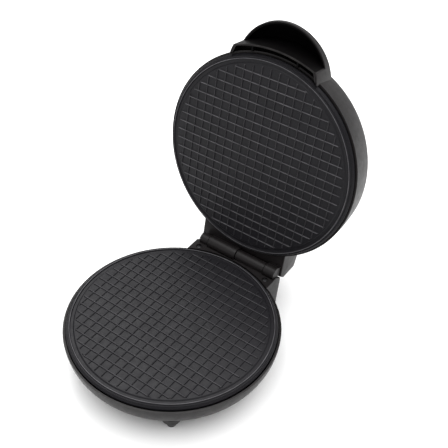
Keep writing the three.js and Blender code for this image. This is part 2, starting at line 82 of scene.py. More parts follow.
SCREW_CIRCLE = 46.0
SCREW_SHANK_RADIUS = 1.8
SCREW_HEAD_RADIUS = 3.4
SCREW_HEAD_HEIGHT = 2.0
SCREW_TIP_Z = -9.5
HEAD_DEPTH = {"lower": 38.3, "upper": 51.7}  # from a baking face to the outer face of its screws' heads
POST_RADIUS = 4.6
CROSS_REACH = 1.7  # half the length of a cross-head slot
CROSS_HALF_WIDTH = 0.35
CROSS_DEPTH = 1.0
CROSS_OFFSET = 0.2  # the cutters' shift along the screw

RIDGE_PITCH = 9.0
RIDGES_EACH_WAY = 9  # on each side of the middle one
RIDGE_HEIGHT = 1.0
RIDGE_HALF_WIDTH = 0.75
RIDGE_FIELD_RADIUS = 89.6
RIDGE_FIELD_SLOPE = 0.9  # the ends of the ridges slope in by this much
RIDGE_SLAB_Z = -1.5
RIDGE_TRIM_Z = -1.2
RIDGE_WEAR_AND_HIGHLIGHT = {"lower": 0.4, "upper": 0.8}  # pale share of the ridges along X, against the bead: partly wear, partly painted highlight, higher on the upper plate where light falls on them more
CROSS_WEAR_AND_HIGHLIGHT = 0.2  # pale share of the ridges along Y, against those along X: lower, as the painted highlight follows how light falls
CREST = 0.85  # a face above this share of the height of a ridge or the bead is its crest
FLANK = 0.55
FLANK_WEAR_AND_HIGHLIGHT = 0.4

RIM_RADIUS = 101.5
BASE_RIM_Z = -3.9
BASE_BOTTOM_Z = -38.5
BOWL_FLAT_RADIUS = 68.0
COVER_RADIUS = 64.0
BLOCK_HALF_WIDTH = 48.0
BLOCK_TOP_Z = -1.5
BLOCK_BOTTOM_Z = -43.5
FOOT_Z = -46.0
PAD_HEIGHT = 1.8
PAD_RADIUS = 4.6
PEG_RADIUS = 1.6
PEG_TOP_Z = -41.0
VENTS = 6
VENT_PITCH = 12.0
VENT_HALF_WIDTH = 1.5
FRONT_FOOT = (49.6, -65.9)
REAR_FOOT = (38.0, 101.0)

LID_RIM_RADIUS = 100.7
LID_RIM_Z = 8.0
LID_TOP_Z = 57.5
CAP_RADIUS = 60.0
CAP_DEPTH = 2.2
CAP_SEAT = 0.5  # extra thickness of the dome under the cap

HINGE_Y = 107.4
HINGE_Z = 0.7
BASE_BARREL_RADIUS = 5.8
LID_BARREL_RADIUS = 6.6
PIN_RADIUS = 2.0
PIN_SPAN = (-42.6, 44.5)
TURNING_GAP = 0.8
BARREL_EDGE = 0.5
BLOCK_EDGE = 0.9
BASE_WEB_HALF = 4.6
LID_WEB_HALF = 5.2
BASE_KNUCKLES = ((-43.4, -33.8), (0.3, 33.2))
LID_KNUCKLES = ((-33.2, -0.3), (33.8, 46.0))
HINGE_SCREWS = ((-40.0, 96.5), (40.0, 96.5))
HINGE_SCREW_SEAT = -3.8
HINGE_SCREW_HEAD_RADIUS = 2.5
HINGE_SCREW_SHANK_RADIUS = 1.2
HINGE_SCREW_TIP_Z = -10.0
HINGE_SCREW_RECESS = 0.4

HOOD_RADIUS = 45.6
HOOD_CENTRE_Y = -81.5
HOOD_RIM_Z = 19.5
HOOD_SPHERE_Y = -70.0
HOOD_SPHERE_Z = -46.0
HOOD_SPHERE_RADIUS = 89.6
HOOD_WALL = 1.1
HOOD_EDGE = 0.5
BALL_STEPS = 96
HANDLE_SPAN = (-60.0, 60.0)  # along X, wider than the handle
HANDLE_FRONT_Y = -140.0
HANDLE_BACK_Y = -80.0
HANDLE_BELOW_Z = -10.0
HANDLE_ABOVE_Z = 60.0
LINER_WALL = 1.2
LINER_RECESS = 0.3
LIP_RADIUS = 118.2
LIP_CENTRE_Y = 11.1
LIP_Z = 3.0
LIP_WALL = 1.4
LIP_EDGE = 0.4  # the rounding of the lip's foot
LIP_REACH = (-20.0, 70.0)
SLOT_TOP_Z = 13.0
LIP_RIB_X = 22.8
LIP_RIB_HALF_WIDTH = 0.8

LAMPS = (("power_lamp", -14.0, -38.0, "red_lens"), ("ready_lamp", 14.0, -38.0, "green_lens"))
LAMP_HOLE_RADIUS = 3.8
LAMP_HOLE_Z = 45.0
CORD_X = -28.0
CORD_Z = -27.0
CORD_HOLE_RADIUS = 5.0
CORD_BOSS_RADIUS = 9.0
CORD_BUSH_Y = 114.5

# ---------------------------------------------------------------- places, from the frame

plate_low, plate_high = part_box("lower_plate")
joint = frame["record"]["behaviour"]["joints"][0]
hinge_point = Vector(joint["pos_m"])
open_angle = math.radians(max(joint["range_deg"]))

plate_middle = Vector((
    (plate_low[0] + plate_high[0]) / 2,
    (plate_low[1] + plate_high[1]) / 2,
    plate_high[2] - PLATE_BEAD * MM,
))
BASE = Matrix.Translation(plate_middle) @ Matrix.Scale(MM, 4)
SWING = (
    Matrix.Translation(hinge_point)
    @ Matrix.Rotation(-open_angle, 4, "X")
    @ Matrix.Translation(-hinge_point)
)
LID = SWING @ BASE
UPPER_DECK = LID @ Matrix.Translation((0, 0, PLATE_SPACING)) @ Matrix.Rotation(math.pi, 4, "X")

# ---------------------------------------------------------------- camera

PHOTO_SIDE = 448.0
SENSOR = 36.0
FOCAL_PIXELS = 786.3
AZIMUTH = math.radians(36.9)
ELEVATION = math.radians(43.5)
VIEW_RIGHT = 0.01518  # from the plate's middle to the camera's axis
VIEW_UP = 0.06486
DISTANCE = 0.72994
SHIFT = (0.0794, 0.0569)
CLIP_START = 0.01


def make_camera():
    back = Vector((
        math.sin(AZIMUTH) * math.cos(ELEVATION),
        -math.cos(AZIMUTH) * math.cos(ELEVATION),
        math.sin(ELEVATION),
    ))
    right = Vector((math.cos(AZIMUTH), math.sin(AZIMUTH), 0))
    up = back.cross(right)
    data = bpy.data.cameras.new("camera")
    data.sensor_width = SENSOR
    data.lens = FOCAL_PIXELS / PHOTO_SIDE * SENSOR
    data.shift_x, data.shift_y = SHIFT
    data.clip_start = CLIP_START
    camera = bpy.data.objects.new("camera", data)
    place = plate_middle + right * VIEW_RIGHT + up * VIEW_UP + back * DISTANCE
    camera.matrix_world = Matrix.Translation(place) @ Matrix((right, up, back)).transposed().to_4x4()
    bpy.context.scene.collection.objects.link(camera)
    bpy.context.scene.camera = camera


# ---------------------------------------------------------------- materials


MIX_FACTOR, MIX_FIRST, MIX_SECOND, MIX_RESULT = 0, 6, 7, 2  # the colour sockets of a Mix node
GRAIN_DEPTH = 0.0002  # metres
WEAVE_DEPTH = 0.0003
# Pale colour painted along the lip's foot as a highlight.
PLASTIC_PAINTED_HIGHLIGHT = (0.034, 0.032, 0.032)
# Pale colour of the plates' crests: partly wear, partly painted highlight.
COATING_WEAR_AND_HIGHLIGHT = (0.132, 0.128, 0.137)


def new_material(name):
    material = bpy.data.materials.new(name)
    material.use_nodes = True
    tree = material.node_tree
    return material, tree, tree.nodes["Principled BSDF"]


def noise(tree, scale, detail=4.0, roughness=0.5):
    """Noise over the object's own coordinates; scale is in repeats a metre."""
    coordinates = tree.nodes.new("ShaderNodeTexCoord")
    node = tree.nodes.new("ShaderNodeTexNoise")
    node.inputs["Scale"].default_value = scale
    node.inputs["Detail"].default_value = detail
    node.inputs["Roughness"].default_value = roughness
    tree.links.new(coordinates.outputs["Object"], node.inputs["Vector"])
    return node.outputs["Fac"]


def remap(tree, value, low, high, source=(0.3, 0.7)):
    node = tree.nodes.new("ShaderNodeMapRange")
    node.inputs["From Min"].default_value, node.inputs["From Max"].default_value = source
    node.inputs["To Min"].default_value = low
    node.inputs["To Max"].default_value = high
    tree.links.new(value, node.inputs["Value"])
    return node.outputs["Result"]


def mix_colour(tree, factor, first, second):
    node = tree.nodes.new("ShaderNodeMix")
    node.data_type = "RGBA"
    tree.links.new(factor, node.inputs[MIX_FACTOR])
    for socket, colour in ((node.inputs[MIX_FIRST], first), (node.inputs[MIX_SECOND], second)):
        if isinstance(colour, tuple):
            socket.default_value = (*colour, 1.0)
        else:
            tree.links.new(colour, socket)
    return node.outputs[MIX_RESULT]


def wear_and_highlight_marks(tree, strength):
    """The wear and painted highlights drawn on the mesh, broken up by noise."""
    attribute = tree.nodes.new("ShaderNodeAttribute")
    attribute.attribute_name = "wear_and_highlight"
    product = tree.nodes.new("ShaderNodeMath")
    product.operation = "MULTIPLY"
    tree.links.new(attribute.outputs["Fac"], product.inputs[0])
    patches = remap(tree, noise(tree, scale=90.0), 0.4 * strength, strength)
    tree.links.new(patches, product.inputs[1])
    return product.outputs["Value"]


def add_bump(tree, shader, height, strength, distance):
    node = tree.nodes.new("ShaderNodeBump")
    node.inputs["Strength"].default_value = strength
    node.inputs["Distance"].default_value = distance
    tree.links.new(height, node.inputs["Height"])
    tree.links.new(node.outputs["Normal"], shader.inputs["Normal"])


def surface_material(
    name, dark, light, rough, metallic=0.0, specular=0.5, patch=35.0, grain=2600.0, bump=0.12
):
    """A surface with patchy colour, uneven roughness, a fine grain and, where its mesh marks any, a pale
    painted highlight.
    """
    material, tree, shader = new_material(name)
    clean = mix_colour(tree, noise(tree, patch), dark, light)
    colour = mix_colour(tree, wear_and_highlight_marks(tree, 0.8), clean, PLASTIC_PAINTED_HIGHLIGHT)
    tree.links.new(colour, shader.inputs["Base Color"])
    tree.links.new(remap(tree, noise(tree, patch * 6), *rough), shader.inputs["Roughness"])
    shader.inputs["Metallic"].default_value = metallic
    shader.inputs["Specular IOR Level"].default_value = specular
    add_bump(tree, shader, noise(tree, grain, detail=2.0), strength=bump, distance=GRAIN_DEPTH)
    return material


def plate_material():
    """Non-stick coating over cast aluminium: cool charcoal, with fine speckle, and pale ridges and bead
    that are partly wear and partly painted highlight.
    """
    material, tree, shader = new_material("baking_plate")
    patches = noise(tree, scale=22.0, detail=6.0)
    body = mix_colour(tree, patches, (0.0067, 0.0064, 0.0077), (0.0102, 0.0097, 0.0116))
    speckle = remap(tree, noise(tree, scale=5200.0, detail=1.0), 0.0, 0.5, source=(0.58, 0.72))
    speckled = mix_colour(tree, speckle, body, (0.031, 0.031, 0.035))
    # Crests of the ridges and the bead turn pale: partly wear, partly painted highlight.
    colour = mix_colour(tree, wear_and_highlight_marks(tree, 0.9), speckled, COATING_WEAR_AND_HIGHLIGHT)
    tree.links.new(colour, shader.inputs["Base Color"])
    tree.links.new(remap(tree, noise(tree, scale=160.0), 0.34, 0.46), shader.inputs["Roughness"])
    shader.inputs["Specular IOR Level"].default_value = 0.13
    grain = noise(tree, scale=3600.0, detail=2.0)
    add_bump(tree, shader, grain, strength=0.16, distance=GRAIN_DEPTH)
    return material


def lens_material(name, colour):
    shaded = tuple(channel * 0.8 for channel in colour)
    material = surface_material(name, colour, shaded, (0.06, 0.14), patch=300.0, bump=0.03)
    material.node_tree.nodes["Principled BSDF"].inputs["Coat Weight"].default_value = 0.6
    return material


def sleeve_material():
    """Woven glass-fibre sleeve."""
    material, tree, shader = new_material("wire_sleeve")
    coordinates = tree.nodes.new("ShaderNodeTexCoord")
    weave = tree.nodes.new("ShaderNodeTexWave")
    weave.bands_direction = "DIAGONAL"
    weave.inputs["Scale"].default_value = 900.0
    weave.inputs["Distortion"].default_value = 2.0
    tree.links.new(coordinates.outputs["Object"], weave.inputs["Vector"])
    colour = mix_colour(tree, weave.outputs["Fac"], (0.48, 0.46, 0.41), (0.75, 0.73, 0.68))
    tree.links.new(colour, shader.inputs["Base Color"])
    shader.inputs["Roughness"].default_value = 0.85
    add_bump(tree, shader, weave.outputs["Fac"], strength=0.4, distance=WEAVE_DEPTH)
    return material


materials = {
    "housing": surface_material(
        "housing", (0.0072, 0.0062, 0.0064), (0.0104, 0.0090, 0.0093), (0.36, 0.46), specular=0.18
    ),
    # Near-black, almost unreflective plastic, far darker than the housing: painted shade inside the
    # handle's hood and on its lip.
    "handle_liner": surface_material(
        "handle_liner", (0.0014, 0.0012, 0.0013), (0.0022, 0.0020, 0.0021), (0.34, 0.44),
        specular=0.03, bump=0.04,
    ),
    "lid_cap": surface_material(
        "lid_cap", (0.0050, 0.0048, 0.0048), (0.0080, 0.0078, 0.0078), (0.36, 0.46), specular=0.2, bump=0.2
    ),
    "baking_plate": plate_material(),
    "screw_steel": surface_material(
        "screw_steel", (0.24, 0.24, 0.25), (0.34, 0.34, 0.35), (0.28, 0.42),
        metallic=1.0, patch=400.0, grain=4000.0,
    ),
    "dark_screw": surface_material(
        "dark_screw", (0.06, 0.06, 0.063), (0.09, 0.09, 0.093), (0.45, 0.60), metallic=1.0, patch=400.0
    ),
    "heater_steel": surface_material(
        "heater_steel", (0.16, 0.14, 0.13), (0.33, 0.31, 0.29), (0.4, 0.6), metallic=0.9, patch=90.0
    ),
    "tinned_sheet": surface_material(
        "tinned_sheet", (0.55, 0.55, 0.56), (0.66, 0.66, 0.67), (0.25, 0.4), metallic=1.0, patch=140.0
    ),
    "rubber": surface_material(
        "rubber", (0.0055, 0.0055, 0.0055), (0.010, 0.010, 0.010), (0.75, 0.9),
        specular=0.3, patch=120.0, bump=0.3,
    ),
    "ceramic": surface_material("ceramic", (0.68, 0.65, 0.58), (0.78, 0.75, 0.69), (0.5, 0.7), patch=200.0),
    "wire_sleeve": sleeve_material(),
    "red_lens": lens_material("red_lens", (0.45, 0.02, 0.015)),
    "green_lens": lens_material("green_lens", (0.02, 0.3, 0.05)),
}

# ---------------------------------------------------------------- mesh helpers

MERGE_DISTANCE = 1e-4
ON_AXIS = 1e-6  # a smaller radius is a point on the axis


def mesh_object(name, vertices, faces):
    mesh = bpy.data.meshes.new(name)
    mesh.from_pydata([tuple(v) for v in vertices], [], faces)
    work = bmesh.new()
    work.from_mesh(mesh)
    bmesh.ops.remove_doubles(work, verts=work.verts, dist=MERGE_DISTANCE)
    bmesh.ops.recalc_face_normals(work, faces=work.faces)
    work.to_mesh(mesh)
    work.free()
    piece = bpy.data.objects.new(name, mesh)
    bpy.context.scene.collection.objects.link(piece)
    return piece


def fillet(corners, steps=4):
    """A polyline from (a, b) points; a third value rounds that corner by that radius."""
    line = []
    for i, corner in enumerate(corners):
        point = Vector(corner[:2])
        if len(corner) < 3:
            line.append(tuple(point))
            continue
        before = Vector(corners[i - 1][:2]) - point
        after = Vector(corners[(i + 1) % len(corners)][:2]) - point
        half = before.angle(after) / 2
        longest = LONGEST_ROUNDING * min(before.length, after.length)
        reach = min(corner[2] / math.tan(half), longest)
        start = point + before.normalized() * reach
        end = point + after.normalized() * reach
        for k in range(steps + 1):
            t = k / steps
            line.append(tuple(start * (1 - t) ** 2 + point * 2 * t * (1 - t) + end * t ** 2))
    return line


def lathe(name, section, segments=FINE, centre=(0.0, 0.0)):
    """A closed half section of (radius, height) points, turned about the vertical through centre."""
    vertices, rings = [], []
    for radius, height in section:
        if radius < ON_AXIS:
            rings.append([len(vertices)])
            vertices.append((centre[0], centre[1], height))
            continue
        rings.append(list(range(len(vertices), len(vertices) + segments)))
        for k in range(segments):
            angle = 2 * math.pi * k / segments
            vertices.append((
                centre[0] + radius * math.cos(angle), centre[1] + radius * math.sin(angle), height
            ))
    faces = []
    for i, lower in enumerate(rings):
        upper = rings[(i + 1) % len(rings)]
        if len(lower) == 1 and len(upper) == 1:
            continue
        for k in range(segments):
            n = (k + 1) % segments
            if len(lower) == 1:
                faces.append((lower[0], upper[k], upper[n]))
            elif len(upper) == 1:
                faces.append((lower[k], lower[n], upper[0]))
            else:
                faces.append((lower[k], lower[n], upper[n], upper[k]))
    return mesh_object(name, vertices, faces)


def drum(name, radius, bottom, top, centre=(0.0, 0.0), segments=FINE, edge=0.0):
    corner = (edge,) if edge else ()
    section = fillet([(0, bottom), (radius, bottom, *corner), (radius, top, *corner), (0, top)])
    return lathe(name, section, segments, centre)


def hinge_drum(name, radius, span, edge=0.0):
    """A round bar along the hinge line."""
    bar = drum(name, radius, span[0], span[1], segments=BARREL_SIDES, edge=edge)
    turn = Matrix.Translation((0, HINGE_Y, HINGE_Z)) @ Matrix.Rotation(math.pi / 2, 4, "Y")
    bar.data.transform(turn)
    return bar


def back_drum(name, radius, span, edge=0.0):
    """A round bar along Y through the cord's hole."""
    bar = drum(name, radius, -span[1], -span[0], segments=CORD_SIDES, edge=edge)
    bar.data.transform(Matrix.Translation((CORD_X, 0, CORD_Z)) @ Matrix.Rotation(math.pi / 2, 4, "X"))
    return bar


def prism(name, outline, span, edge=0.0):
    """An outline in Y and Z drawn out along X, with its end edges bevelled."""
    count = len(outline)
    vertices = [(x, y, z) for x in span for y, z in outline]
    sides = [(i, (i + 1) % count, count + (i + 1) % count, count + i) for i in range(count)]
    block = mesh_object(name, vertices, [tuple(range(count)), tuple(range(count, 2 * count)), *sides])
    if edge:
        bevel(block, edge)
    return block


def bevel(piece, width, segments=3, angle=40.0):
    modifier = piece.modifiers.new("bevel", "BEVEL")
    modifier.width = width
    modifier.segments = segments
    modifier.limit_method = "ANGLE"
    modifier.angle_limit = math.radians(angle)
    modifier.use_clamp_overlap = True
    bake(piece)


def bake(piece):
    graph = bpy.context.evaluated_depsgraph_get()
    made = bpy.data.meshes.new_from_object(piece.evaluated_get(graph))
    piece.modifiers.clear()
    piece.data = made


def combine(piece, tools, operation):
    """Joins, cuts or intersects piece with each tool, and removes the tools."""
    for tool in tools:
        modifier = piece.modifiers.new("combine", "BOOLEAN")
        modifier.operation = operation
        modifier.solver = "MANIFOLD"
        modifier.object = tool
        bake(piece)
        bpy.data.objects.remove(tool)
    return piece


def place(piece, matrix, body, slot, *nodes, smooth=32.0):
    """Moves a drawn piece into the row frame, shades it and hands it to the frame."""
    piece.data.transform(matrix)
    for polygon in piece.data.polygons:
        polygon.use_smooth = True
    piece.data.set_sharp_from_angle(angle=math.radians(smooth))
    piece.data.materials.clear()
    piece.data.materials.append(materials[slot])
    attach(piece, body)
    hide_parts(*nodes)
    return piece


# ---------------------------------------------------------------- baking plates


def ridge_stations():
    """Places across the field, with the height that a ridge has at each of them."""
    profile = (
        (-1.0, 0.0), (-0.75, 0.5), (-0.4, 0.9), (0.0, 1.0), (0.4, 0.9), (0.75, 0.5), (1.0, 0.0),
    )
    edge = BAKING_RADIUS + 1.0
    stations = [(-edge, 0.0)]
    for k in range(-RIDGES_EACH_WAY, RIDGES_EACH_WAY + 1):
        for across, height in profile:
            stations.append((k * RIDGE_PITCH + across * RIDGE_HALF_WIDTH, height * RIDGE_HEIGHT))
    stations.append((edge, 0.0))
    return stations


def ridge_field(name):
    """A slab whose top carries the crossing ridges, trimmed to a disc."""
    stations = ridge_stations()
    count = len(stations)
    vertices = [(x, y, max(hx, hy)) for y, hy in stations for x, hx in stations]
    vertices += [(x, y, RIDGE_SLAB_Z) for y, _ in stations for x, _ in stations]
    lower = count * count
    faces = []
    for row in range(count - 1):
        for column in range(count - 1):
            a = row * count + column
            faces.append((a, a + 1, a + count + 1, a + count))
            faces.append((lower + a, lower + a + count, lower + a + count + 1, lower + a + 1))
    last = count - 1
    for i in range(last):
        for a, b in (
            (i, i + 1),
            (last * count + i, last * count + i + 1),
            (i * count, (i + 1) * count),
            (i * count + last, (i + 1) * count + last),
        ):
            faces.append((a, b, lower + b, lower + a))
    slab = mesh_object(name, vertices, faces)
    above = RIDGE_HEIGHT + 0.1
    trim = [
        (0, RIDGE_TRIM_Z), (RIDGE_FIELD_RADIUS, RIDGE_TRIM_Z), (RIDGE_FIELD_RADIUS, 0.05),
        (RIDGE_FIELD_RADIUS - RIDGE_FIELD_SLOPE, above), (0, above),
    ]
    return combine(slab, [lathe("trim", trim)], "INTERSECT")


def plate_places():
    for degrees in (90, 210, 330):
        angle = math.radians(degrees)
        yield SCREW_CIRCLE * math.cos(angle), SCREW_CIRCLE * math.sin(angle)


def mark_wear_and_highlight(plate, ridge_wear_and_highlight):
    """Marks crest and flank faces pale, partly as wear and partly as painted highlight: the bead most, then
    the ridges along X, and the ridges along Y least, after how light falls on them.
    """
    wear_and_highlight = plate.data.attributes.new("wear_and_highlight", "FLOAT", "FACE")
    for polygon, mark in zip(plate.data.polygons, wear_and_highlight.data):
        x, y, z = polygon.center
        top, share = PLATE_BEAD, 1.0
        if math.hypot(x, y) < BAKING_RADIUS:
            along_x = abs(polygon.normal.y) > abs(polygon.normal.x)
            top, share = RIDGE_HEIGHT, ridge_wear_and_highlight * (1.0 if along_x else CROSS_WEAR_AND_HIGHLIGHT)
        if z > CREST * top:
            mark.value = share
        elif z > FLANK * top:
            mark.value = FLANK_WEAR_AND_HIGHLIGHT * share


def baking_plate(half, matrix, body):
    flange = [
        (0, 0), (BAKING_RADIUS, 0, 0.4), (91.6, -1, 0.5), (94.3, -1, 0.3),
        (94.9, PLATE_BEAD, 0.15), (95.3, PLATE_BEAD, 0.15), (95.9, -0.9, 0.3), (97, -0.8),
    ]
    # Fine turned rings on the sloping flange
    for k in range(FLANGE_RINGS):
        radius = 97.1 + FLANGE_RING_STEP * k
        height = -0.75 - FLANGE_RING_DROP * k
        flange += [(radius, height), (radius + 0.15, height - 0.35), (radius + 0.3, height - 0.25)]
    flange += [
        (PLATE_RADIUS, -2.2, 0.3), (PLATE_RADIUS, -4.2, 0.3), (97, -4.4), (92, -5),
        (92, -PLATE_THICKNESS), (0, -PLATE_THICKNESS),
    ]
    plate = lathe(f"{half}_waffle_plate", fillet(flange))
    boss = (BOSS_RADIUS, -BOSS_DEPTH, BOSS_TOP_Z)
    bosses = [drum("boss", *boss, centre, SMALL, edge=0.5) for centre in plate_places()]
    combine(plate, bosses, "UNION")
    combine(plate, [ridge_field("ridges")], "UNION")
    hole = (SCREW_SHANK_RADIUS + GAP, -BOSS_DEPTH - BEYOND, SCREW_TIP_Z + GAP)
    holes = [drum("hole", *hole, centre, SMALL) for centre in plate_places()]
    combine(plate, holes, "DIFFERENCE")
    mark_wear_and_highlight(plate, RIDGE_WEAR_AND_HIGHLIGHT[half])
    return place(plate, matrix, body, "baking_plate", f"{half}_plate", smooth=28.0)


# ---------------------------------------------------------------- base


def bowl_section(inset, top):
    """Half of the base's bowl: a flat bottom, then a quarter of an ellipse up to the rim."""
    width = RIM_RADIUS - BOWL_FLAT_RADIUS - inset
    depth = BASE_RIM_Z - BASE_BOTTOM_Z - inset
    section = [(0, BASE_RIM_Z - depth)]
    steps = 32
    for i in range(steps + 1):
        angle = math.pi / 2 * (1 - i / steps)
        section.append((
            BOWL_FLAT_RADIUS + width * math.cos(angle), BASE_RIM_Z - depth * math.sin(angle)
        ))
    if top > BASE_RIM_Z:
        section.append((BOWL_FLAT_RADIUS + width, top))
    return section + [(0, top)]


def webs(spans, half, bottom, top):
    """The walls that join the barrels to their block."""
    back, front = HINGE_Y + half, HINGE_Y - half
    outline = [(front, bottom), (back, bottom), (back, top), (front, top)]
    return [prism("web", outline, span) for span in spans]


def front_foot(side):
    tip = FOOT_Z + PAD_HEIGHT + GAP
    section = fillet([(0, -28), (10.5, -28), (9.2, -36, 4), (6.2, -40.5, 3), (5, tip, 0.5), (0, tip)])
    return lathe("foot", section, FOOT_SIDES, (side * FRONT_FOOT[0], FRONT_FOOT[1]))


def base_shell():
    block_outline = fillet([
        (70, BLOCK_TOP_Z), (104, BLOCK_TOP_Z, 1.5), (113.7, -7.7, 2.5), (108.5, BLOCK_BOTTOM_Z, 3),
        (90, BLOCK_BOTTOM_Z, 3), (70, -30),
    ])
    shell = lathe("base_shell", bowl_section(0, BASE_RIM_Z))
    combine(shell, [
        prism("block", block_outline, (-BLOCK_HALF_WIDTH, BLOCK_HALF_WIDTH), edge=BLOCK_EDGE),
        front_foot(-1),
        front_foot(1),
        *[hinge_drum("barrel", BASE_BARREL_RADIUS, span, edge=BARREL_EDGE) for span in BASE_KNUCKLES],
        *webs(BASE_KNUCKLES, BASE_WEB_HALF, -8.0, HINGE_Z),
        back_drum("cord_boss", CORD_BOSS_RADIUS, (105.2, 112.2), edge=0.8),
    ], "UNION")
    hollow_outline = [(60, -12), (109.8, -12), (105.9, -41.1), (91.2, -41.1), (78, -31.5), (60, -31.5)]
    pads = [(side * x, y) for x, y in (FRONT_FOOT, REAR_FOOT) for side in (-1, 1)]
    peg_hole = (PEG_RADIUS + GAP, FOOT_Z, PEG_TOP_Z + GAP)
    head_hole = (HINGE_SCREW_HEAD_RADIUS + HINGE_SCREW_RECESS, HINGE_SCREW_SEAT - GAP, 0.0)
    shank_hole = (HINGE_SCREW_SHANK_RADIUS + GAP, HINGE_SCREW_TIP_Z - GAP, 0.0)
    combine(shell, [
        lathe("bowl_hollow", bowl_section(WALL, BEYOND)),
        prism("block_hollow", hollow_outline, (-BLOCK_HALF_WIDTH + WALL, BLOCK_HALF_WIDTH - WALL)),
        drum("plate_seat", PLATE_RADIUS + PLATE_GAP, -BEYOND, BEYOND),
        drum("cover_hole", COVER_RADIUS, BASE_BOTTOM_Z - BEYOND, BASE_BOTTOM_Z + BEYOND),
        *[
            hinge_drum("recess", LID_BARREL_RADIUS + TURNING_GAP, (start - GAP, end + GAP))
            for start, end in LID_KNUCKLES
        ],
        hinge_drum("pin_hole", PIN_RADIUS + GAP, (-BLOCK_HALF_WIDTH - BEYOND, PIN_SPAN[1] + GAP)),
        back_drum("cord_hole", CORD_HOLE_RADIUS, (98.0, 118.0)),
        *[drum("peg_hole", *peg_hole, centre, SMALL) for centre in pads],
        *[drum("head_hole", *head_hole, centre, SMALL) for centre in HINGE_SCREWS],
        *[drum("shank_hole", *shank_hole, centre, SMALL) for centre in HINGE_SCREWS],
    ], "DIFFERENCE")
    return place(shell, BASE, "base", "housing", "base_housing")


def bottom_cover():
    section = fillet([
        (0, BASE_BOTTOM_Z), (COVER_RADIUS - GAP, BASE_BOTTOM_Z, 0.6),
        (COVER_RADIUS - GAP, BASE_BOTTOM_Z + WALL), (0, BASE_BOTTOM_Z + WALL),
    ])
    cover = lathe("underside_cover", section)
    post = (POST_RADIUS, BASE_BOTTOM_Z + 1, -BOSS_DEPTH - GAP)
    posts = [drum("post", *post, centre, SMALL) for centre in plate_places()]
    combine(cover, posts, "UNION")
    head_top = SCREW_HEAD_HEIGHT + GAP - HEAD_DEPTH["lower"]
    counterbore = (SCREW_HEAD_RADIUS + GAP, BASE_BOTTOM_Z - BEYOND, head_top)
    bore = (SCREW_SHANK_RADIUS + GAP, BASE_BOTTOM_Z, 0.0)
    cuts = []
    for centre in plate_places():
        cuts.append(drum("counterbore", *counterbore, centre, SMALL))
        cuts.append(drum("bore", *bore, centre, SMALL))
    vent_outline = [(-16, -43), (14, -43), (14, -34), (-16, -34)]
    for i in range(VENTS):
        x = (i - (VENTS - 1) / 2) * VENT_PITCH
        cuts.append(prism("vent", vent_outline, (x - VENT_HALF_WIDTH, x + VENT_HALF_WIDTH)))
    combine(cover, cuts, "DIFFERENCE")
    return place(cover, BASE, "base", "housing", "bottom_cover")


def foot_pads():
    sides = (("left", -1), ("right", 1))
    for row, (x, y), top in (
        ("front", FRONT_FOOT, FOOT_Z + PAD_HEIGHT),
        ("rear", REAR_FOOT, BLOCK_BOTTOM_Z - GAP),
    ):
        for side, sign in sides:
            section = fillet([
                (0, FOOT_Z), (PAD_RADIUS - 0.4, FOOT_Z, 0.5), (PAD_RADIUS, FOOT_Z + 0.6, 0.3),
                (PAD_RADIUS, top), (PEG_RADIUS, top), (PEG_RADIUS, PEG_TOP_Z), (0, PEG_TOP_Z),
            ])
            pad = lathe(f"pad_{row}_{side}", section, PAD_SIDES, (sign * x, y))
            place(pad, BASE, "base", "rubber", f"foot_pad_{row}_{side}")


def cross_recess(centre, face, up):
    """Cutters for a cross-head drive in a screw's outer face."""
    arms = []
    x, y = centre
    low, high = face - CROSS_DEPTH, face + CROSS_DEPTH
    shift = CROSS_OFFSET if up else -CROSS_OFFSET
    for length, width in ((CROSS_REACH, CROSS_HALF_WIDTH), (CROSS_HALF_WIDTH, CROSS_REACH)):
        outline = [(y - width, low), (y + width, low), (y + width, high), (y - width, high)]
        arm = prism("arm", outline, (x - length, x + length))
        arm.data.transform(Matrix.Translation((0, 0, shift)))
        arms.append(arm)
    return arms


def hinge_screws():
    head, shank = HINGE_SCREW_HEAD_RADIUS, HINGE_SCREW_SHANK_RADIUS
    seat, tip = HINGE_SCREW_SEAT, HINGE_SCREW_TIP_Z
    crown = seat + 1.8
    for i, centre in enumerate(HINGE_SCREWS):
        section = fillet([
            (0, tip), (shank, tip), (shank, seat), (head, seat), (head, seat + 0.8, 0.3),
            (head - 0.9, crown, 0.4), (0, crown),
        ])
        screw = lathe(f"block_screw_{i + 1}", section, SMALL, centre)
        combine(screw, cross_recess(centre, crown, up=False), "DIFFERENCE")
        place(screw, BASE, "base", "dark_screw", f"hinge_screw_{i + 1}")


def plate_screws(half, matrix, body):
    head, shank, tip = SCREW_HEAD_RADIUS, SCREW_SHANK_RADIUS, SCREW_TIP_Z
    face = -HEAD_DEPTH[half]
    seat = face + SCREW_HEAD_HEIGHT
    for i, centre in enumerate(plate_places()):
        section = fillet([
            (0, tip), (shank, tip, 0.3), (shank, seat), (head, seat), (head, face, 0.5), (0, face)
        ])
        screw = lathe(f"{half}_fixing_{i + 1}", section, SMALL, centre)
        combine(screw, cross_recess(centre, face, up=True), "DIFFERENCE")
        place(screw, matrix, body, "screw_steel", f"{half}_plate_screw_{i + 1}")


def cord_bush():
    section = fillet([
        (3.2, 0, 0.5), (4, 2, 0.6), (7.5, 0, 0.5), (7.5, -2, 0.3), (4.7, -2), (4.7, -7), (3.2, -7)
    ])
    bush = lathe("cord_grommet", section, CORD_SIDES)
    turn = Matrix.Translation((CORD_X, CORD_BUSH_Y, CORD_Z)) @ Matrix.Rotation(-math.pi / 2, 4, "X")
    bush.data.transform(turn)
    place(bush, BASE, "base", "rubber", "cord_bush")


# ---------------------------------------------------------------- lid


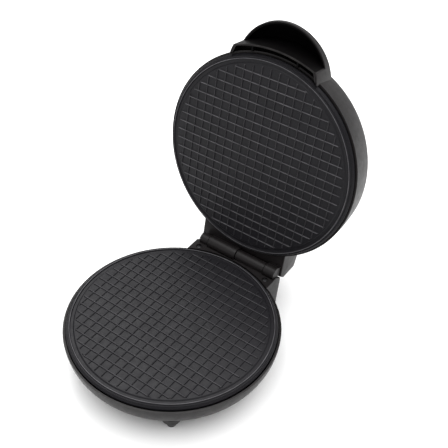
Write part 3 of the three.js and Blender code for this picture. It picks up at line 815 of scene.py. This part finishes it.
def curve_points(start, controls, end, steps):
    """Points on a Bezier curve of one or two control points, without its start."""
    points = [Vector(start), *[Vector(c) for c in controls], Vector(end)]
    line = []
    for k in range(1, steps + 1):
        level = points
        while len(level) > 1:
            level = [a.lerp(b, k / steps) for a, b in zip(level, level[1:])]
        line.append(tuple(level[0]))
    return line


def lid_section(inset, top_inset, bottom):
    """Half of the lid's dome: flank, shoulder and crown as three curves."""
    rim = (LID_RIM_RADIUS - inset, LID_RIM_Z)
    belt = (98.2 - inset, 34)
    shoulder = (64, 55.8 - top_inset)
    crown = (0, LID_TOP_Z - top_inset)
    section = [(0, bottom), (LID_RIM_RADIUS - inset, bottom)]
    if bottom < LID_RIM_Z:
        section.append(rim)
    section += curve_points(rim, [(100.2 - inset, 21)], belt, 12)
    upper_controls = [(94.5 - inset, 42.5), (89 - inset, 53.1 - top_inset)]
    section += curve_points(belt, upper_controls, shoulder, 20)
    return section + curve_points(shoulder, [(32, LID_TOP_Z - top_inset)], crown, 10)


def hood_space(name, inset, bottom, edge=0.0):
    """The space that a drum and a ball share, inset all round."""
    radius = HOOD_SPHERE_RADIUS - inset
    ball = [(0, HOOD_SPHERE_Z - radius)]
    for i in range(1, BALL_STEPS):
        angle = math.pi * (i / BALL_STEPS - 0.5)
        ball.append((radius * math.cos(angle), HOOD_SPHERE_Z + radius * math.sin(angle)))
    ball.append((0, HOOD_SPHERE_Z + radius))
    space = drum(name, HOOD_RADIUS - inset, bottom, HANDLE_ABOVE_Z, (0, HOOD_CENTRE_Y))
    combine(space, [lathe("ball", ball, FINE, (0, HOOD_SPHERE_Y))], "INTERSECT")
    if edge:
        bevel(space, edge, segments=4, angle=30)
    return space


def slab(name, top=HANDLE_ABOVE_Z):
    """A block over the handle's place, for cutting it."""
    outline = [
        (HANDLE_FRONT_Y, HANDLE_BELOW_Z), (HANDLE_BACK_Y, HANDLE_BELOW_Z),
        (HANDLE_BACK_Y, top), (HANDLE_FRONT_Y, top),
    ]
    return prism(name, outline, HANDLE_SPAN)


def lip_drum(name, inset, bottom, top):
    return drum(name, LIP_RADIUS - inset, bottom, top, (0, LIP_CENTRE_Y), segments=2 * FINE)


def handle():
    """The handle's outer shell: open before the lip up to its rim, and beside it down to the lip's foot."""
    before_lip = slab("before_lip", HOOD_RIM_Z)
    combine(before_lip, [lip_drum("lip_face", 0, *LIP_REACH)], "DIFFERENCE")
    shell = hood_space("hood", 0, LIP_Z, edge=HOOD_EDGE)
    combine(shell, [slab("front")], "INTERSECT")
    return combine(shell, [hood_space("hood_inside", HOOD_WALL, 0), before_lip], "DIFFERENCE")


def paint_lip_highlight(lip):
    """Marks the lip's foot pale: a painted highlight along its rounded edge."""
    wear_and_highlight = lip.data.attributes.new("wear_and_highlight", "FLOAT", "FACE")
    for polygon, mark in zip(lip.data.polygons, wear_and_highlight.data):
        mark.value = 1.0 if polygon.center.z < LIP_Z + LIP_EDGE else 0.0


def front_lip():
    """The ribbed crescent between the plate and the fingers."""
    inset = HOOD_WALL + GAP
    lip = hood_space("handle_lip", inset, LIP_Z - 1)
    face = lathe("lip_face", fillet([
        (0, LIP_Z), (LIP_RADIUS, LIP_Z, LIP_EDGE), (LIP_RADIUS, LIP_REACH[1]), (0, LIP_REACH[1])
    ]), 2 * FINE, (0, LIP_CENTRE_Y))
    combine(lip, [face], "INTERSECT")
    slot = lip_drum("slot", LIP_WALL, LIP_Z - 1, SLOT_TOP_Z)
    combine(slot, [hood_space("slot_ends", inset + LIP_WALL, LIP_Z - 1)], "INTERSECT")
    combine(lip, [slot], "DIFFERENCE")
    rib_outline = [(-104.4, 3.6), (-96, 3.6), (-96, 20), (-104.4, 20)]
    ribs = [
        prism("rib", rib_outline, (x - LIP_RIB_HALF_WIDTH, x + LIP_RIB_HALF_WIDTH))
        for x in (-LIP_RIB_X, LIP_RIB_X)
    ]
    combine(lip, ribs, "UNION")
    combine(lip, [lathe("dome", lid_section(-GAP, -GAP, -BEYOND))], "DIFFERENCE")
    paint_lip_highlight(lip)
    # The lip takes the liner's near-black plastic, painted shade under the hood.
    place(lip, LID, "lid", "handle_liner", "front_lip")


def lid_places():
    return [(x, -y) for x, y in plate_places()]


def lid_shell():
    block_outline = fillet([
        (70, LID_RIM_Z), (113.7, LID_RIM_Z, 1), (118.2, 14.9, 2), (114.4, 34.8, 3), (97, 39, 4), (70, 39)
    ])
    shell = lathe("lid_shell", lid_section(0, 0, LID_RIM_Z))
    combine(shell, [
        handle(),
        prism("block", block_outline, (-BLOCK_HALF_WIDTH, BLOCK_HALF_WIDTH), edge=BLOCK_EDGE),
        *[hinge_drum("barrel", LID_BARREL_RADIUS, span, edge=BARREL_EDGE) for span in LID_KNUCKLES],
        *webs(LID_KNUCKLES, LID_WEB_HALF, HINGE_Z, 10.0),
    ], "UNION")
    hollow_outline = [(60, 10.5), (112.4, 10.5), (115.6, 15.7), (112.4, 32.4), (96, 36.2), (60, 36.2)]
    combine(shell, [
        lathe("dome_hollow", lid_section(WALL, WALL + CAP_DEPTH + CAP_SEAT, -BEYOND)),
        prism("block_hollow", hollow_outline, (-BLOCK_HALF_WIDTH + WALL, BLOCK_HALF_WIDTH - WALL)),
        drum("plate_space", PLATE_RADIUS + PLATE_GAP, -BEYOND, LID_RIM_Z),
    ], "DIFFERENCE")
    cap_floor = LID_TOP_Z - CAP_DEPTH - GAP
    post = (POST_RADIUS, PLATE_SPACING + BOSS_DEPTH + GAP, cap_floor - 1)
    posts = [drum("post", *post, centre, SMALL) for centre in lid_places()]
    combine(shell, posts, "UNION")
    above = LID_TOP_Z + BEYOND
    head_bottom = PLATE_SPACING + HEAD_DEPTH["upper"] - SCREW_HEAD_HEIGHT - GAP
    cuts = [drum("cap_recess", CAP_RADIUS + GAP, cap_floor, above)]
    for centre in lid_places():
        cuts.append(drum("counterbore", SCREW_HEAD_RADIUS + GAP, head_bottom, above, centre, SMALL))
        cuts.append(drum("bore", SCREW_SHANK_RADIUS + GAP, LID_RIM_Z, above, centre, SMALL))
    for _, x, y, _ in LAMPS:
        cuts.append(drum("lamp_hole", LAMP_HOLE_RADIUS, LAMP_HOLE_Z, above, (x, y), SMALL))
    for start, end in BASE_KNUCKLES:
        cuts.append(hinge_drum("recess", BASE_BARREL_RADIUS + TURNING_GAP, (start - GAP, end + GAP)))
    cuts.append(hinge_drum("pin_hole", PIN_RADIUS + GAP, (-BLOCK_HALF_WIDTH - BEYOND, PIN_SPAN[1] + GAP)))
    combine(shell, cuts, "DIFFERENCE")
    return place(shell, LID, "lid", "housing", "lid_housing")


def handle_liner():
    inset = HOOD_WALL + GAP
    liner = hood_space("hood_lining", inset, HOOD_RIM_Z + LINER_RECESS)
    combine(liner, [slab("front")], "INTERSECT")
    combine(liner, [
        hood_space("inside", inset + LINER_WALL, HOOD_RIM_Z),
        lip_drum("lid_side", -GAP, *LIP_REACH),
    ], "DIFFERENCE")
    # The liner's near-black plastic paints the shade inside the hood.
    place(liner, LID, "lid", "handle_liner", "handle_liner")


def lid_cap():
    bottom = LID_TOP_Z - CAP_DEPTH
    edge = LID_TOP_Z - 1.1
    section = fillet([
        (0, bottom), (CAP_RADIUS, bottom), (CAP_RADIUS, edge, 0.4), (CAP_RADIUS - 1, edge + 0.4, 0.5),
        (30, LID_TOP_Z - 0.2, 20), (0, LID_TOP_Z),
    ])
    cap = lathe("top_cap", section)
    hole = (LAMP_HOLE_RADIUS, LAMP_HOLE_Z, LID_TOP_Z + BEYOND)
    holes = [drum("hole", *hole, (x, y), SMALL) for _, x, y, _ in LAMPS]
    combine(cap, holes, "DIFFERENCE")
    place(cap, LID, "lid", "lid_cap", "lid_cap")


def lamps():
    for node, x, y, slot in LAMPS:
        section = fillet([(0, 50), (3.2, 50), (3.2, 56.4, 0.6), (2.4, 57.3, 0.8), (0, 57.7)])
        lens = lathe(node.replace("lamp", "lens"), section, SMALL, (x, y))
        place(lens, LID, "lid", slot, node)


def hinge_pin():
    pin = hinge_drum("pin_rod", PIN_RADIUS, PIN_SPAN, edge=0.4)
    place(pin, BASE, "base", "screw_steel", "hinge_pin")


# ---------------------------------------------------------------- CAD nodes sealed inside


def finish_sealed_nodes():
    """The nodes that no drawn piece replaces keep their CAD shape and take a procedural material."""
    slots = {row["node"]: row["material_slot"] for row in frame["record"]["subparts"]}
    for name, node in frame["nodes"].items():
        if node.hide_render:
            continue
        node.data.materials.clear()
        node.data.materials.append(materials[slots[name]])


# ---------------------------------------------------------------- floor and light

FLOOR_SIDE = 6.0
FLOOR_COLOUR = (0.94, 0.94, 0.94, 1)
WORLD_STRENGTH = 0.9
LIGHTS_AIM = Vector((0, 0, 0.12))


def make_floor():
    half = FLOOR_SIDE / 2
    corners = [(-half, -half, 0), (half, -half, 0), (half, half, 0), (-half, half, 0)]
    floor = mesh_object("floor", corners, [(0, 1, 2, 3)])
    material, _, shader = new_material("floor")
    shader.inputs["Base Color"].default_value = FLOOR_COLOUR
    shader.inputs["Roughness"].default_value = 0.9
    floor.data.materials.append(material)


def area_light(name, place_m, size, power):
    data = bpy.data.lights.new(name, "AREA")
    data.shape = "DISK"
    data.size = size
    data.energy = power
    light = bpy.data.objects.new(name, data)
    light.location = place_m
    towards = LIGHTS_AIM - Vector(place_m)
    light.rotation_euler = towards.to_track_quat("-Z", "Y").to_euler()
    bpy.context.scene.collection.objects.link(light)


def make_light():
    bpy.context.scene.view_settings.view_transform = "Standard"
    world = bpy.data.worlds.new("studio")
    world.use_nodes = True
    background = world.node_tree.nodes["Background"]
    background.inputs["Color"].default_value = (1, 1, 1, 1)
    background.inputs["Strength"].default_value = WORLD_STRENGTH
    bpy.context.scene.world = world
    area_light("overhead", (0.0, 0.3, 3.0), size=5.0, power=135)
    area_light("key", (-1.0, 0.7, 1.7), size=1.0, power=12)


# ---------------------------------------------------------------- build

make_camera()
make_floor()
make_light()

baking_plate("lower", BASE, "base")
baking_plate("upper", UPPER_DECK, "lid")
base_shell()
bottom_cover()
foot_pads()
cord_bush()
hinge_pin()
hinge_screws()
plate_screws("lower", BASE, "base")
plate_screws("upper", UPPER_DECK, "lid")
lid_shell()
handle_liner()
front_lip()
lid_cap()
lamps()
finish_sealed_nodes()
